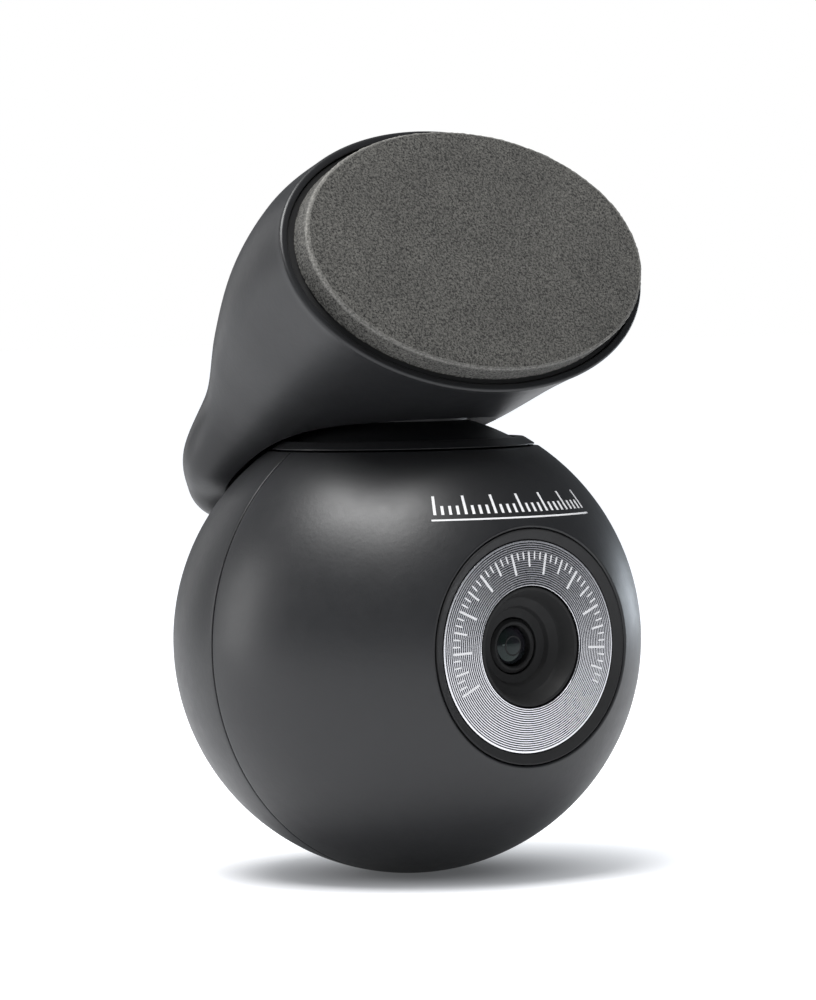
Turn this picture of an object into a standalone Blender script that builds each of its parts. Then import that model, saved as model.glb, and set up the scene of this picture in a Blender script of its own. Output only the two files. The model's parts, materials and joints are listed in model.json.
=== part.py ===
"""Ball-shaped rear window dash camera on an adhesive window mount.

The camera is a ball that looks along -Y. Above it stands a tubular mount whose slanted, oval mouth
carries the foam pad that sticks to the glass. The ball swivels on a hollow stem under the mount (pan)
and nods on two trunnion pins inside (tilt). The frame's origin is the centre of the foam's outer face.
"""

import math

import bmesh
import bpy
from mathutils import Matrix, Vector

MM = 0.001

# Ball
BALL_RADIUS = 22.5 * MM
SHELL_WALL = 1.4 * MM
SEAM_BACK = 0.4 * MM           # the front and rear shells meet this far behind the centre
SEAM_GAP = 0.15 * MM
TOP_OPENING_HEIGHT = 18.37 * MM
TOP_RING_HEIGHT = 19.3 * MM
LIP_WALL = 0.45 * MM           # the shells are this thin where the dome slides under them
LIP_POLAR_DEG = 57.0           # and stay so down to this angle from the vertical

# Swivel
DOME_RADIUS = 21.9 * MM
DOME_WALL = 1.5 * MM
DOME_POLAR_DEG = 43.5
STEM_RADIUS = 4.6 * MM
STEM_BORE = 2.6 * MM
STEM_TOP = 27.4 * MM
COLLAR_RADIUS = 6.2 * MM
COLLAR_TOP = 23.15 * MM
GROOVE_RADIUS = 4.0 * MM
GROOVE_BOTTOM = 26.0 * MM
GROOVE_TOP = 26.75 * MM
HOOP_OUTER = 19.7 * MM
HOOP_INNER = 18.3 * MM
HOOP_HALF_WIDTH = 3.5 * MM
HOOP_END_DROP = 3.4 * MM
HOOP_SCREW_POLAR_DEG = 22.0

# Trunnions, on the ball's lateral axis
PIN_RADIUS = 1.5 * MM
PIN_INNER_END = 14.8 * MM
PIN_SHOULDER = 19.85 * MM
PIN_HEAD_END = 20.5 * MM
PIN_HEAD_RADIUS = 2.0 * MM

# Mount
PAD_ELEVATION_DEG = 24.75      # the pad's normal above the horizontal
PAD_FORWARD = 10.44 * MM       # mouth centre, from the ball's centre
PAD_HEIGHT = 36.26 * MM
PAD_HALF_WIDTH = 20.9 * MM
PAD_HALF_HEIGHT = 13.67 * MM
MOUTH_LIP = 0.8 * MM
PLATE_THICKNESS = 2.2 * MM
PLATE_SINK = 0.2 * MM
FOAM_HALF_WIDTH = 19.5 * MM
FOAM_HALF_HEIGHT = 12.5 * MM
FOAM_PROUD = 2.4 * MM
MOUNT_WALL = 1.7 * MM
SCOOP_RADIUS = 22.9 * MM       # hollow in the mount's underside that clears the ball
FLOOR_RADIUS = 24.6 * MM
BEARING_RADIUS = 8.5 * MM
BEARING_TOP = 25.4 * MM

# Cable socket in the mount's back
SOCKET_BACK = 10.25 * MM
SOCKET_HEIGHT = 35.82 * MM
SOCKET_TILT_DEG = 29.0
SOCKET_SIZE = (9.0 * MM, 7.5 * MM, 3.3 * MM)
SOCKET_SCREW_X = 6.8 * MM
SOCKET_SCREW_Y = -7.0 * MM

# Optics, as distances forward of the ball's centre
LENS_HOLE_RADIUS = 11.1 * MM

# Boards and frame inside the ball
FRAME_RADIUS = 16.4 * MM
FRAME_FRONT = -0.6 * MM
FRAME_BACK = 1.0 * MM
FRAME_SCREW_X = 11.5 * MM
FRAME_SCREW_Z = 8.6 * MM
LENS_SCREW_X = 7.8 * MM
BOARD_SCREW_X = 8.8 * MM

FIT_GAP = 0.15 * MM
SCREW_HOLE = 0.92 * MM
SCREW_SHANK = 0.75 * MM
ROUND_STEPS = 40
SMALL_STEPS = 20
SCREW_STEPS = 10

FOAM_FACE = Vector((
    0,
    -PAD_FORWARD - FOAM_PROUD * math.cos(math.radians(PAD_ELEVATION_DEG)),
    PAD_HEIGHT + FOAM_PROUD * math.sin(math.radians(PAD_ELEVATION_DEG)),
))

# Sections of the mount's body, from the mouth to the tip of the lobe behind the ball. Each is
# (top forward, top height, bottom forward, bottom height, half width, squareness), in mm.
MOUNT_SECTIONS = (
    (4.72, 48.67, 16.16, 23.85, 20.9, 2.0),
    (-1.0, 46.4, 11.0, 22.2, 20.3, 2.0),
    (-6.5, 42.0, 5.0, 20.0, 19.2, 2.0),
    (-10.6, 36.0, -1.0, 18.0, 17.5, 2.0),
    (-13.8, 28.5, -6.0, 16.0, 15.9, 2.0),
    (-17.4, 20.5, -11.0, 14.4, 15.5, 2.6),
    (-19.6, 15.4, -14.2, 13.3, 13.3, 2.5),
    (-20.5, 13.2, -16.2, 11.7, 11.0, 2.4),
    (-21.0, 11.7, -17.9, 10.6, 7.6, 2.3),
)


# Scene, materials and helpers

def clear_scene():
    for old in list(bpy.data.objects):
        bpy.data.objects.remove(old)


def new_collection(name):
    made = bpy.data.collections.new(name)
    bpy.context.scene.collection.children.link(made)
    return made


def new_material(name, colour, roughness, metallic=0.0):
    made = bpy.data.materials.new(name)
    made.use_nodes = True
    shader = made.node_tree.nodes["Principled BSDF"]
    shader.inputs["Base Color"].default_value = (*colour, 1.0)
    shader.inputs["Roughness"].default_value = roughness
    shader.inputs["Metallic"].default_value = metallic
    return made


def make_materials():
    return {
        "satin_black": new_material("satin_black", (0.018, 0.019, 0.022), 0.42),
        "gloss_black": new_material("gloss_black", (0.010, 0.010, 0.012), 0.18),
        "foam": new_material("foam", (0.12, 0.118, 0.108), 0.95),
        "turned_metal": new_material("turned_metal", (0.62, 0.62, 0.64), 0.28, 1.0),
        "steel": new_material("steel", (0.55, 0.56, 0.58), 0.3, 1.0),
        "board_green": new_material("board_green", (0.02, 0.16, 0.07), 0.5),
        "chip_black": new_material("chip_black", (0.03, 0.03, 0.03), 0.5),
        "lens_glass": new_material("lens_glass", (0.05, 0.06, 0.07), 0.05),
        "nylon": new_material("nylon", (0.5, 0.5, 0.48), 0.6),
        "wire": new_material("wire", (0.05, 0.05, 0.05), 0.55),
    }


def new_empty(name, parent=None, location=(0, 0, 0), rotation=(0, 0, 0)):
    empty = bpy.data.objects.new(name, None)
    PARTS.objects.link(empty)
    empty.parent = parent
    empty.location = location
    empty.rotation_euler = rotation
    return empty


def add_object(name, mesh, parent, finish=None, cutter=False):
    """A new object with this mesh; a cutter goes in its own collection and stays hidden."""
    made = bpy.data.objects.new(name, mesh)
    (CUTTERS if cutter else PARTS).objects.link(made)
    made.parent = parent
    if cutter:
        made.hide_render = True
        made.display_type = "WIRE"
    else:
        mesh.materials.append(MATERIALS[finish])
    return made


def mesh_from(bm, name):
    bmesh.ops.recalc_face_normals(bm, faces=bm.faces)
    mesh = bpy.data.meshes.new(name)
    bm.to_mesh(mesh)
    bm.free()
    mesh.shade_smooth()
    mesh.set_sharp_from_angle(angle=math.radians(35))
    return mesh


def box(name, size, centre, parent, finish=None, cutter=False, bevel=0.0):
    bm = bmesh.new()
    bmesh.ops.create_cube(bm, size=1.0)
    bmesh.ops.scale(bm, vec=size, verts=bm.verts)
    made = add_object(name, mesh_from(bm, name), parent, finish, cutter)
    made.location = centre
    if bevel:
        rounding = made.modifiers.new("edges", "BEVEL")
        rounding.width = bevel
        rounding.segments = 2
    return made


def rod(name, radius, start, end, parent, finish=None, cutter=False, steps=SMALL_STEPS):
    """A straight cylinder between two points."""
    start, end = Vector(start), Vector(end)
    bm = bmesh.new()
    bmesh.ops.create_cone(
        bm, cap_ends=True, segments=steps, radius1=radius, radius2=radius, depth=(end - start).length
    )
    made = add_object(name, mesh_from(bm, name), parent, finish, cutter)
    made.location = (start + end) / 2
    made.rotation_euler = (end - start).to_track_quat("Z", "Y").to_euler()
    return made


def sphere(name, radius, parent, segments=ROUND_STEPS):
    """A round cutter about the ball's centre."""
    bm = bmesh.new()
    bmesh.ops.create_uvsphere(bm, u_segments=segments, v_segments=segments // 2, radius=radius)
    return add_object(name, mesh_from(bm, name), parent, cutter=True)


def turned(name, profile, parent, finish=None, cutter=False, steps=ROUND_STEPS, forward=False):
    """Turns (radius, height) points about the local Z; `forward` lays that axis along -Y.

    The profile runs down its outer side. It is closed, unless both its ends are on the axis.
    """
    count = len(profile)
    on_axis = profile[0][0] == 0 and profile[-1][0] == 0
    mesh = bpy.data.meshes.new(name)
    edges = [(i, (i + 1) % count) for i in range(count - 1 if on_axis else count)]
    mesh.from_pydata([(r, 0, h) for r, h in profile], edges, [])
    made = add_object(name, mesh, parent, finish, cutter)
    screw = made.modifiers.new("turn", "SCREW")
    screw.steps = steps
    screw.render_steps = steps
    screw.use_merge_vertices = on_axis
    screw.merge_threshold = 0.00002
    screw.use_smooth_shade = True
    if forward:
        made.rotation_euler = (math.radians(90), 0, 0)
    return made


def boolean(target, tool, operation):
    step = target.modifiers.new(tool.name, "BOOLEAN")
    step.operation = operation
    step.solver = "EXACT"
    step.object = tool


def cut(target, *tools):
    for tool in tools:
        boolean(target, tool, "DIFFERENCE")


def arc(radius, start_deg, end_deg, count):
    """(radius, height) points along a circle, by angle from the vertical."""
    angles = [math.radians(start_deg + (end_deg - start_deg) * i / count) for i in range(count + 1)]
    return [(radius * math.sin(a), radius * math.cos(a)) for a in angles]


def polar_deg(height, radius):
    return math.degrees(math.acos(height / radius))


def tube_along(name, points, radius, parent, finish):
    """A round lead through the given points, as a mesh with closed ends."""
    curve = bpy.data.curves.new(name, "CURVE")
    curve.dimensions = "3D"
    curve.bevel_depth = radius
    curve.bevel_resolution = 2
    curve.use_fill_caps = True
    spline = curve.splines.new("POLY")
    smooth = smooth_path([Vector(p) for p in points], 3)
    spline.points.add(len(smooth) - 1)
    for point, place in zip(spline.points, smooth):
        point.co = (*place, 1.0)
    holder = bpy.data.objects.new(name + "_route", curve)
    CUTTERS.objects.link(holder)
    graph = bpy.context.evaluated_depsgraph_get()
    mesh = bpy.data.meshes.new_from_object(holder.evaluated_get(graph))
    bpy.data.objects.remove(holder)
    bm = bmesh.new()
    bm.from_mesh(mesh)
    bmesh.ops.remove_doubles(bm, verts=bm.verts, dist=0.00001)
    return add_object(name, mesh_from(bm, name), parent, finish)


def spline_value(before, start, end, after, t):
    """Catmull-Rom interpolation between start and end."""
    return 0.5 * (
        2 * start
        + (end - before) * t
        + (2 * before - 5 * start + 4 * end - after) * t * t
        + (3 * start - before - 3 * end + after) * t ** 3
    )


def smooth_path(points, per_span):
    ends = [2 * points[0] - points[1], *points, 2 * points[-1] - points[-2]]
    path = []
    for i in range(1, len(ends) - 2):
        for k in range(per_span):
            path.append(spline_value(*ends[i - 1:i + 3], k / per_span))
    return [*path, points[-1]]


def screw_profile(head_radius, head_height, length):
    """Screw with its head's underside at height 0 and its shank below."""
    return [
        (0, head_height),
        (head_radius * 0.8, head_height),
        (head_radius, head_height * 0.6),
        (head_radius, 0),
        (SCREW_SHANK, 0),
        (SCREW_SHANK, -length + 0.5 * MM),
        (SCREW_SHANK * 0.5, -length),
        (0, -length),
    ]


def screw(name, place, direction, length, parent, head_radius=1.5 * MM):
    """A small screw; `direction` points from the shank to the head."""
    made = turned(name, screw_profile(head_radius, 0.8 * MM, length), parent, "steel", steps=SCREW_STEPS)
    made.location = place
    made.rotation_euler = Vector(direction).to_track_quat("Z", "Y").to_euler()
    return made


# The mount's lofted body

def mount_section(values, inset, count):
    """One superellipse section, as points in the ball's frame."""
    top_f, top_z, low_f, low_z, half_width, squareness = values
    middle = Vector((0, -(top_f + low_f) / 2, (top_z + low_z) / 2)) * MM
    up = Vector((0, -(top_f - low_f) / 2, (top_z - low_z) / 2)) * MM
    up *= 1 - inset / up.length
    side = Vector((half_width * MM - inset, 0, 0))
    ring = []
    for k in range(count):
        angle = 2 * math.pi * k / count
        c, s = math.cos(angle), math.sin(angle)
        rise = math.copysign(abs(c) ** (2 / squareness), c)
        reach = math.copysign(abs(s) ** (2 / squareness), s)
        ring.append(middle + up * rise + side * reach)
    return ring


def bridge_rings(rings, name):
    """A closed solid through rings of equal length, with flat end faces."""
    bm = bmesh.new()
    rows = [[bm.verts.new(p) for p in ring] for ring in rings]
    count = len(rows[0])
    for one, two in zip(rows, rows[1:]):
        for k in range(count):
            n = (k + 1) % count
            bm.faces.new((one[k], one[n], two[n], two[k]))
    bm.faces.new(rows[0])
    bm.faces.new(rows[-1])
    return mesh_from(bm, name)


def outer_rings():
    stations = smooth_path([Vector(s) for s in MOUNT_SECTIONS], 2)
    rings = [mount_section(s, 0, ROUND_STEPS) for s in stations]
    edge = 0.15 * MM
    mouth = mount_section(MOUNT_SECTIONS[0], edge, ROUND_STEPS)
    inward = PAD_NORMAL * -edge
    rings[0] = [p + inward for p in rings[0]]
    tip = mount_section(MOUNT_SECTIONS[-1], 1.2 * MM, ROUND_STEPS)
    low = Vector((0, 0.1, -0.5)) * MM
    return [mouth, *rings, [p + low for p in tip]]


def cavity_rings():
    """The hollow inside the mount: it opens at the mouth and ends above the lobe."""
    stations = smooth_path([Vector(s) for s in MOUNT_SECTIONS[:5]], 2)
    rings = [mount_section(s, MOUNT_WALL, ROUND_STEPS // 2) for s in stations]
    beyond = [p + PAD_NORMAL * 2 * MM for p in rings[0]]
    return [beyond, *rings]


def oval(name, half_width, half_height, low, high, parent, finish=None, cutter=False, bevel=0.0):
    """An oval disc in the pad's frame, between two heights."""
    bm = bmesh.new()
    bmesh.ops.create_cone(
        bm, cap_ends=True, segments=ROUND_STEPS, radius1=1.0, radius2=1.0, depth=high - low
    )
    bmesh.ops.scale(bm, vec=(half_width, half_height, 1), verts=bm.verts)
    bmesh.ops.translate(bm, vec=(0, 0, (low + high) / 2), verts=bm.verts)
    made = add_object(name, mesh_from(bm, name), parent, finish, cutter)
    if bevel:
        rounding = made.modifiers.new("edge", "BEVEL")
        rounding.width = bevel
        rounding.segments = 1
        rounding.limit_method = "ANGLE"
    return made


def make_mount(root, pad, socket):
    shell = add_object("mount_shell", bridge_rings(outer_rings(), "mount_shell"), root, "satin_black")
    cavity = add_object("mount_cavity", bridge_rings(cavity_rings(), "mount_cavity"), root, cutter=True)
    cut(
        cavity,
        sphere("mount_floor", FLOOR_RADIUS, root),
        rod("bearing_block", BEARING_RADIUS, (0, 0, 15 * MM), (0, 0, BEARING_TOP), root, cutter=True),
    )
    for side, x in (("left", -SOCKET_SCREW_X), ("right", SOCKET_SCREW_X)):
        post = rod(
            f"socket_post_{side}", 1.9 * MM, (x, SOCKET_SCREW_Y, -3.0 * MM), (x, SOCKET_SCREW_Y, -14 * MM),
            socket, cutter=True,
        )
        cut(cavity, post)
    cut(
        shell,
        cavity,
        sphere("ball_scoop", SCOOP_RADIUS, root),
        oval(
            "mouth_recess", PAD_HALF_WIDTH - MOUTH_LIP, PAD_HALF_HEIGHT - MOUTH_LIP,
            -PLATE_THICKNESS - PLATE_SINK - FIT_GAP, 2 * MM, pad, cutter=True,
        ),
        rod("stem_bore", STEM_RADIUS + 0.1 * MM, (0, 0, 15 * MM), (0, 0, 27 * MM), root, cutter=True,
            steps=ROUND_STEPS),
        rod("collar_bore", COLLAR_RADIUS + 0.2 * MM, (0, 0, 15 * MM), (0, 0, COLLAR_TOP + FIT_GAP), root,
            cutter=True, steps=ROUND_STEPS),
        box("bezel_pocket", (13.9 * MM, 6 * MM, 7.9 * MM), (0, 1.85 * MM, 0), socket, cutter=True),
        box("socket_hole", (9.4 * MM, 12 * MM, 3.8 * MM), (0, -2 * MM, 0), socket, cutter=True),
    )
    for side, x in (("left", -SOCKET_SCREW_X), ("right", SOCKET_SCREW_X)):
        cut(shell, rod(
            f"socket_pilot_{side}", SCREW_HOLE, (x, SOCKET_SCREW_Y, -1 * MM), (x, SOCKET_SCREW_Y, -6.5 * MM),
            socket, cutter=True, steps=12,
        ))
    oval(
        "pad_plate", PAD_HALF_WIDTH - MOUTH_LIP - FIT_GAP, PAD_HALF_HEIGHT - MOUTH_LIP - FIT_GAP,
        -PLATE_SINK - PLATE_THICKNESS, -PLATE_SINK, pad, "gloss_black", bevel=0.2 * MM,
    )
    oval(
        "foam_pad", FOAM_HALF_WIDTH, FOAM_HALF_HEIGHT, -PLATE_SINK + FIT_GAP, FOAM_PROUD, pad, "foam",
        bevel=0.35 * MM,
    )


def make_socket(socket, root):
    bezel = box("socket_bezel", (13.6 * MM, 1.0 * MM, 7.6 * MM), (0, -0.5 * MM, 0), socket, "gloss_black")
    cut(bezel, box("bezel_window", (9.3 * MM, 4 * MM, 3.6 * MM), (0, 0, 0), socket, cutter=True))
    width, depth, height = SOCKET_SIZE
    jack = box("cable_socket", SOCKET_SIZE, (0, -depth / 2 - 0.2 * MM, 0), socket, "steel", bevel=0.4 * MM)
    mouth = (width - 0.6 * MM, 6.5 * MM, height - 0.6 * MM)
    cut(jack, box("socket_mouth", mouth, (0, 0.5 * MM - mouth[1] / 2, 0), socket, cutter=True))
    box("socket_tongue", (6.6 * MM, 4.6 * MM, 0.8 * MM), (0, -3.55 * MM, 0), socket, "nylon")
    board = box(
        "socket_board", (16.6 * MM, 5.8 * MM, 1.0 * MM), (0, -6.3 * MM, -2.35 * MM), socket, "board_green"
    )
    for side, x in (("left", -SOCKET_SCREW_X), ("right", SOCKET_SCREW_X)):
        cut(board, rod(
            f"socket_board_hole_{side}", SCREW_HOLE, (x, SOCKET_SCREW_Y, -4 * MM), (x, SOCKET_SCREW_Y, 0),
            socket, cutter=True, steps=12,
        ))
        screw(
            f"socket_screw_{side}", (x, SOCKET_SCREW_Y, -1.7 * MM), (0, 0, 1), 4.2 * MM, socket,
            head_radius=1.4 * MM,
        )
    route = ((0, 18.6), (0, 22.5), (0, 26), (-0.4, 27.9), (-1.2, 28.9), (-2.4, 29.3))
    tube_along("mount_lead", [(0, -f * MM, z * MM) for f, z in route], 1.0 * MM, root, "wire")


# Swivel: dome with its stem, retaining clip and inner hoop

def make_swivel(pan, root):
    collar_deg = math.degrees(math.asin(COLLAR_RADIUS / DOME_RADIUS))
    inner = DOME_RADIUS - DOME_WALL
    bore_deg = math.degrees(math.asin(STEM_BORE / inner))
    dome = turned("dome_cap", [
        (STEM_RADIUS, STEM_TOP),
        (STEM_RADIUS, GROOVE_TOP),
        (GROOVE_RADIUS, GROOVE_TOP),
        (GROOVE_RADIUS, GROOVE_BOTTOM),
        (STEM_RADIUS, GROOVE_BOTTOM),
        (STEM_RADIUS, COLLAR_TOP),
        (COLLAR_RADIUS, COLLAR_TOP),
        *arc(DOME_RADIUS, collar_deg, DOME_POLAR_DEG, 7),
        *arc(inner, DOME_POLAR_DEG, bore_deg, 4),
        (STEM_BORE, STEM_TOP),
    ], pan, "satin_black")
    turned("wave_washer", [
        (7.0 * MM, BEARING_TOP + 0.42 * MM),
        (7.0 * MM, BEARING_TOP + 0.12 * MM),
        (4.85 * MM, BEARING_TOP + 0.12 * MM),
        (4.85 * MM, BEARING_TOP + 0.42 * MM),
    ], root, "steel", steps=SMALL_STEPS)
    clip = turned("retaining_clip", [
        (6.4 * MM, GROOVE_TOP - 0.1 * MM),
        (6.4 * MM, GROOVE_BOTTOM + 0.1 * MM),
        (GROOVE_RADIUS + 0.12 * MM, GROOVE_BOTTOM + 0.1 * MM),
        (GROOVE_RADIUS + 0.12 * MM, GROOVE_TOP - 0.1 * MM),
    ], pan, "steel", steps=SMALL_STEPS)
    cut(clip, box("clip_gap", (2.4 * MM, 8 * MM, 4 * MM), (0, -6 * MM, 26.4 * MM), pan, cutter=True))
    hoop = turned("yoke_hoop", [
        (HOOP_OUTER, HOOP_HALF_WIDTH),
        (HOOP_OUTER, -HOOP_HALF_WIDTH),
        (HOOP_INNER, -HOOP_HALF_WIDTH),
        (HOOP_INNER, HOOP_HALF_WIDTH),
    ], pan, "steel", forward=True)
    low = 20 * MM
    cut(
        hoop,
        box("hoop_opening", (50 * MM, 20 * MM, low), (0, 0, -HOOP_END_DROP - low / 2), pan, cutter=True),
        rod("hoop_eyes", PIN_RADIUS + 0.1 * MM, (-30 * MM, 0, 0), (30 * MM, 0, 0), pan, cutter=True),
        rod("hoop_lead_hole", 3.0 * MM, (0, 0, 15 * MM), (0, 0, 25 * MM), pan, cutter=True),
    )
    for side, way in (("left", -1), ("right", 1)):
        angle = math.radians(way * HOOP_SCREW_POLAR_DEG)
        outward = Vector((math.sin(angle), 0, math.cos(angle)))
        hole = rod(f"hoop_screw_hole_{side}", SCREW_HOLE, outward * 14 * MM, outward * 21.4 * MM, pan,
                   cutter=True, steps=12)
        cut(hoop, hole)
        cut(dome, hole)
        screw(f"hoop_screw_{side}", outward * (HOOP_INNER - FIT_GAP), -outward, 3.1 * MM, pan)


# Ball shells

def ball_outline():
    """Solid ball, open to the sky above the top opening."""
    top = polar_deg(TOP_OPENING_HEIGHT, BALL_RADIUS)
    return [(0, TOP_OPENING_HEIGHT), *arc(BALL_RADIUS, top, 180, 18)[:-1], (0, -BALL_RADIUS)]


def ball_hollow():
    lip = BALL_RADIUS - LIP_WALL
    inner = BALL_RADIUS - SHELL_WALL
    return [
        (0, lip),
        *arc(lip, 8, LIP_POLAR_DEG, 8),
        *arc(inner, LIP_POLAR_DEG, 180, 9)[:-1],
        (0, -inner),
    ]


def make_shells(tilt):
    far = 30 * MM
    front = turned("front_shell", ball_outline(), tilt, "satin_black")
    rear = turned("rear_shell", ball_outline(), tilt, "satin_black")
    front_hollow = turned("front_hollow", ball_hollow(), tilt, cutter=True)
    rear_hollow = turned("rear_hollow", ball_hollow(), tilt, cutter=True)
    for x in (-FRAME_SCREW_X, FRAME_SCREW_X):
        for z in (-FRAME_SCREW_Z, FRAME_SCREW_Z):
            where = f"{'left' if x < 0 else 'right'}_{'lower' if z < 0 else 'upper'}"
            start = FRAME_FRONT - FIT_GAP
            post = rod(f"front_post_{where}", 1.9 * MM, (x, start, z), (x, -far, z), tilt, cutter=True, steps=16)
            cut(front_hollow, post)
            screw(
                f"frame_screw_{where}", (x, FRAME_BACK + FIT_GAP, z), (0, 1, 0), 5.4 * MM, tilt,
                head_radius=1.6 * MM,
            )
    for side, x in (("left", -6 * MM), ("right", 6 * MM)):
        start = FRAME_BACK + FIT_GAP
        post = rod(f"rear_post_{side}", 1.8 * MM, (x, start, -14 * MM), (x, far, -14 * MM), tilt, cutter=True,
                   steps=16)
        cut(rear_hollow, post)
    seam_front = SEAM_BACK - SEAM_GAP / 2
    seam_rear = SEAM_BACK + SEAM_GAP / 2
    cube = (3 * far, 2 * far, 3 * far)
    cut(
        front,
        front_hollow,
        box("front_seam_cut", cube, (0, seam_front + far, 0), tilt, cutter=True),
        rod("lens_hole", LENS_HOLE_RADIUS, (0, -10 * MM, 0), (0, -far, 0), tilt, cutter=True,
            steps=ROUND_STEPS),
    )
    for x in (-FRAME_SCREW_X, FRAME_SCREW_X):
        for z in (-FRAME_SCREW_Z, FRAME_SCREW_Z):
            cut(front, rod(
                f"front_pilot_{x * 1000:.0f}_{z * 1000:.0f}", SCREW_HOLE, (x, 1 * MM, z), (x, -5.5 * MM, z),
                tilt, cutter=True, steps=12,
            ))
    cut(rear, rear_hollow, box("rear_seam_cut", cube, (0, seam_rear - far, 0), tilt, cutter=True))
    lip = BALL_RADIUS - LIP_WALL
    low = TOP_OPENING_HEIGHT + SEAM_GAP
    turned("top_ring", [
        *arc(BALL_RADIUS, polar_deg(TOP_RING_HEIGHT, BALL_RADIUS), polar_deg(low, BALL_RADIUS), 2),
        *arc(lip, polar_deg(low, lip), polar_deg(TOP_RING_HEIGHT, lip), 2),
    ], tilt, "satin_black")


# Optics

def make_optics(tilt):
    turned("lens_bezel", [(r * MM, f * MM) for r, f in (
        (10.1, 19.05), (10.95, 19.55), (10.95, 17.2), (11.6, 16.7), (11.6, 16.1), (8.6, 16.1),
        (8.6, 18.2), (10.1, 18.2),
    )], tilt, "gloss_black", forward=True)
    turned("trim_ring", [(r * MM, f * MM) for r, f in (
        (9.95, 19.08), (9.95, 18.35), (5.75, 18.35), (5.75, 19.42), (7.2, 19.34), (8.6, 19.22),
    )], tilt, "turned_metal", forward=True)
    turned("lens_hood", [(r * MM, f * MM) for r, f in (
        (5.6, 19.3), (5.6, 18.2), (6.6, 18.2), (6.6, 15.6), (2.7, 15.6), (2.7, 16.7), (4.6, 17.7), (5.3, 19.3),
    )], tilt, "gloss_black", forward=True)
    turned("lens_barrel", [(r * MM, f * MM) for r, f in (
        (2.4, 16.8), (2.55, 16.6), (2.55, 13.2), (4.5, 13.2), (4.5, 6.9), (3.2, 6.9), (3.2, 12.0),
        (1.95, 12.0), (1.95, 16.8),
    )], tilt, "gloss_black", forward=True, steps=SMALL_STEPS)
    turned("front_lens", [(r * MM, f * MM) for r, f in (
        (0, 16.75), (0.7, 16.68), (1.3, 16.46), (1.8, 16.1), (1.8, 15.0), (0, 15.0),
    )], tilt, "lens_glass", forward=True, steps=SMALL_STEPS)
    turned("rear_lens", [(r * MM, f * MM) for r, f in (
        (0, 10.6), (1.6, 10.3), (3.05, 9.5), (3.05, 8.9), (1.6, 8.2), (0, 8.0),
    )], tilt, "lens_glass", forward=True, steps=SMALL_STEPS)
    holder = box("lens_holder", (12 * MM, 7.6 * MM, 12 * MM), (0, -6.2 * MM, 0), tilt, "gloss_black")
    ears = box("holder_ears", (19 * MM, 1.8 * MM, 4.4 * MM), (0, -3.3 * MM, 0), tilt, cutter=True)
    boolean(holder, ears, "UNION")
    cut(
        holder,
        rod("holder_bore", 4.62 * MM, (0, -5.8 * MM, 0), (0, -12 * MM, 0), tilt, cutter=True),
        box("holder_hollow", (8.6 * MM, 4 * MM, 8.6 * MM), (0, -4 * MM, 0), tilt, cutter=True),
    )
    box("ir_filter", (7.6 * MM, 0.4 * MM, 7.6 * MM), (0, -5.0 * MM, 0), tilt, "lens_glass")
    box("image_sensor", (7.2 * MM, 0.8 * MM, 6.0 * MM), (0, -2.75 * MM, 0), tilt, "chip_black")
    board = box("sensor_board", (20 * MM, 1.0 * MM, 14 * MM), (0, -1.7 * MM, 0), tilt, "board_green")
    for side, x in (("left", -LENS_SCREW_X), ("right", LENS_SCREW_X)):
        hole = rod(f"lens_screw_hole_{side}", SCREW_HOLE, (x, 0.5 * MM, 0), (x, -6 * MM, 0), tilt,
                   cutter=True, steps=12)
        cut(holder, hole)
        cut(board, hole)
        screw(f"lens_screw_{side}", (x, -4.35 * MM, 0), (0, -1, 0), 4.2 * MM, tilt)


# Frame, boards and trunnions inside the ball

def make_frame(tilt):
    middle = (FRAME_FRONT + FRAME_BACK) / 2
    thickness = FRAME_BACK - FRAME_FRONT
    frame = rod("inner_frame", FRAME_RADIUS, (0, FRAME_FRONT, 0), (0, FRAME_BACK, 0), tilt, "nylon",
                steps=ROUND_STEPS)
    for side, way in (("left", -1), ("right", 1)):
        lug = box(f"frame_lug_{side}", (3.4 * MM, 6 * MM, 6 * MM), (way * 15.9 * MM, 0, 0), tilt, cutter=True)
        lens_post = rod(f"lens_post_{side}", 1.5 * MM, (way * LENS_SCREW_X, middle, 0),
                        (way * LENS_SCREW_X, -1.05 * MM, 0), tilt, cutter=True, steps=16)
        board_post = rod(f"board_post_{side}", 1.6 * MM, (way * BOARD_SCREW_X, middle, 0),
                         (way * BOARD_SCREW_X, 4.85 * MM, 0), tilt, cutter=True, steps=16)
        for piece in (lug, lens_post, board_post):
            boolean(frame, piece, "UNION")
        cut(
            frame,
            rod(f"pin_bore_{side}", PIN_RADIUS + FIT_GAP, (way * 12 * MM, 0, 0), (way * 20 * MM, 0, 0), tilt,
                cutter=True),
            rod(f"board_pilot_{side}", SCREW_HOLE, (way * BOARD_SCREW_X, 1.6 * MM, 0),
                (way * BOARD_SCREW_X, 6 * MM, 0), tilt, cutter=True, steps=12),
            rod(f"lens_pilot_{side}", SCREW_HOLE, (way * LENS_SCREW_X, 0.2 * MM, 0),
                (way * LENS_SCREW_X, -3 * MM, 0), tilt, cutter=True, steps=12),
        )
        make_trunnion(side, way, tilt)
    for x in (-FRAME_SCREW_X, FRAME_SCREW_X):
        for z in (-FRAME_SCREW_Z, FRAME_SCREW_Z):
            name = f"frame_hole_{x * 1000:.0f}_{z * 1000:.0f}"
            ends = ((x, middle - thickness, z), (x, middle + thickness, z))
            cut(frame, rod(name, SCREW_HOLE, *ends, tilt, cutter=True, steps=12))
    cut(frame, box("frame_window", (9 * MM, 4 * MM, 5 * MM), (0, middle, -10 * MM), tilt, cutter=True))


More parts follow.
